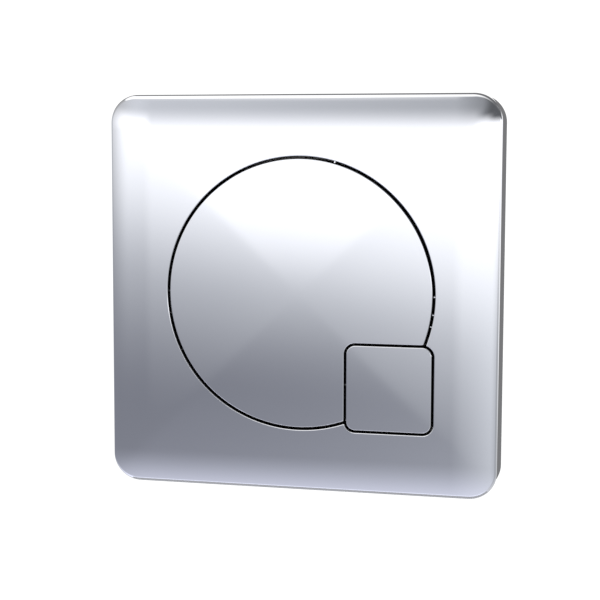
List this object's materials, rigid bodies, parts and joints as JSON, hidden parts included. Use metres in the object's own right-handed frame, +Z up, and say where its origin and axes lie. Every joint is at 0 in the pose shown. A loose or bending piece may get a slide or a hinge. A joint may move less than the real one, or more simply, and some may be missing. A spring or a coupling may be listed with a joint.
{
  "type": "flush button plate",
  "caption": "Square chromed plate for a concealed cistern, with a large round full flush button and a small square half flush button that pump air into hose tails.",
  "frame": {"origin": "middle of the plate, on the plane of the wall that the frame lies on", "axes": "+Z up the wall, +X to the right as seen from the front, +Y into the wall, so the face looks to -Y"},
  "size_m": [0.15, 0.0428, 0.15],
  "materials": {
    "chrome": "mirror polished chrome plating",
    "white_abs": "fine satin moulding",
    "grey_acetal": "smooth moulding",
    "white_acetal": "smooth moulding",
    "black_rubber": "matt",
    "spring_steel": "drawn wire",
    "zinc_steel": "bright zinc plating"
  },
  "bodies": {
    "plate": {"face_plate": "chrome", "mounting_frame": "white_abs", "full_flush_bellows": "black_rubber", "full_flush_return_spring": "spring_steel", "full_flush_hose_tail": "white_acetal", "full_flush_tail_nut": "white_acetal", "half_flush_bellows": "black_rubber", "half_flush_return_spring": "spring_steel", "half_flush_hose_tail": "white_acetal", "half_flush_tail_nut": "white_acetal"},
    "full_flush": {"full_flush_button": "chrome", "full_flush_carrier": "grey_acetal", "full_flush_carrier_screws": "zinc_steel", "full_flush_stop_washers": "zinc_steel", "full_flush_stop_screws": "zinc_steel"},
    "half_flush": {"half_flush_button": "chrome", "half_flush_carrier": "grey_acetal", "half_flush_carrier_screws": "zinc_steel", "half_flush_stop_washers": "zinc_steel", "half_flush_stop_screws": "zinc_steel"}
  },
  "joints": [
    {"name": "full_flush_press", "type": "slide", "parent": "plate", "child": "full_flush", "axis": [0, 1, 0], "range_m": [0, 0.0055], "stiffness_N_per_m": 900, "deforming": ["full_flush_bellows", "full_flush_return_spring"]},
    {"name": "half_flush_press", "type": "slide", "parent": "plate", "child": "half_flush", "axis": [0, 1, 0], "range_m": [0, 0.0055], "stiffness_N_per_m": 500, "deforming": ["half_flush_bellows", "half_flush_return_spring"]}
  ]
}
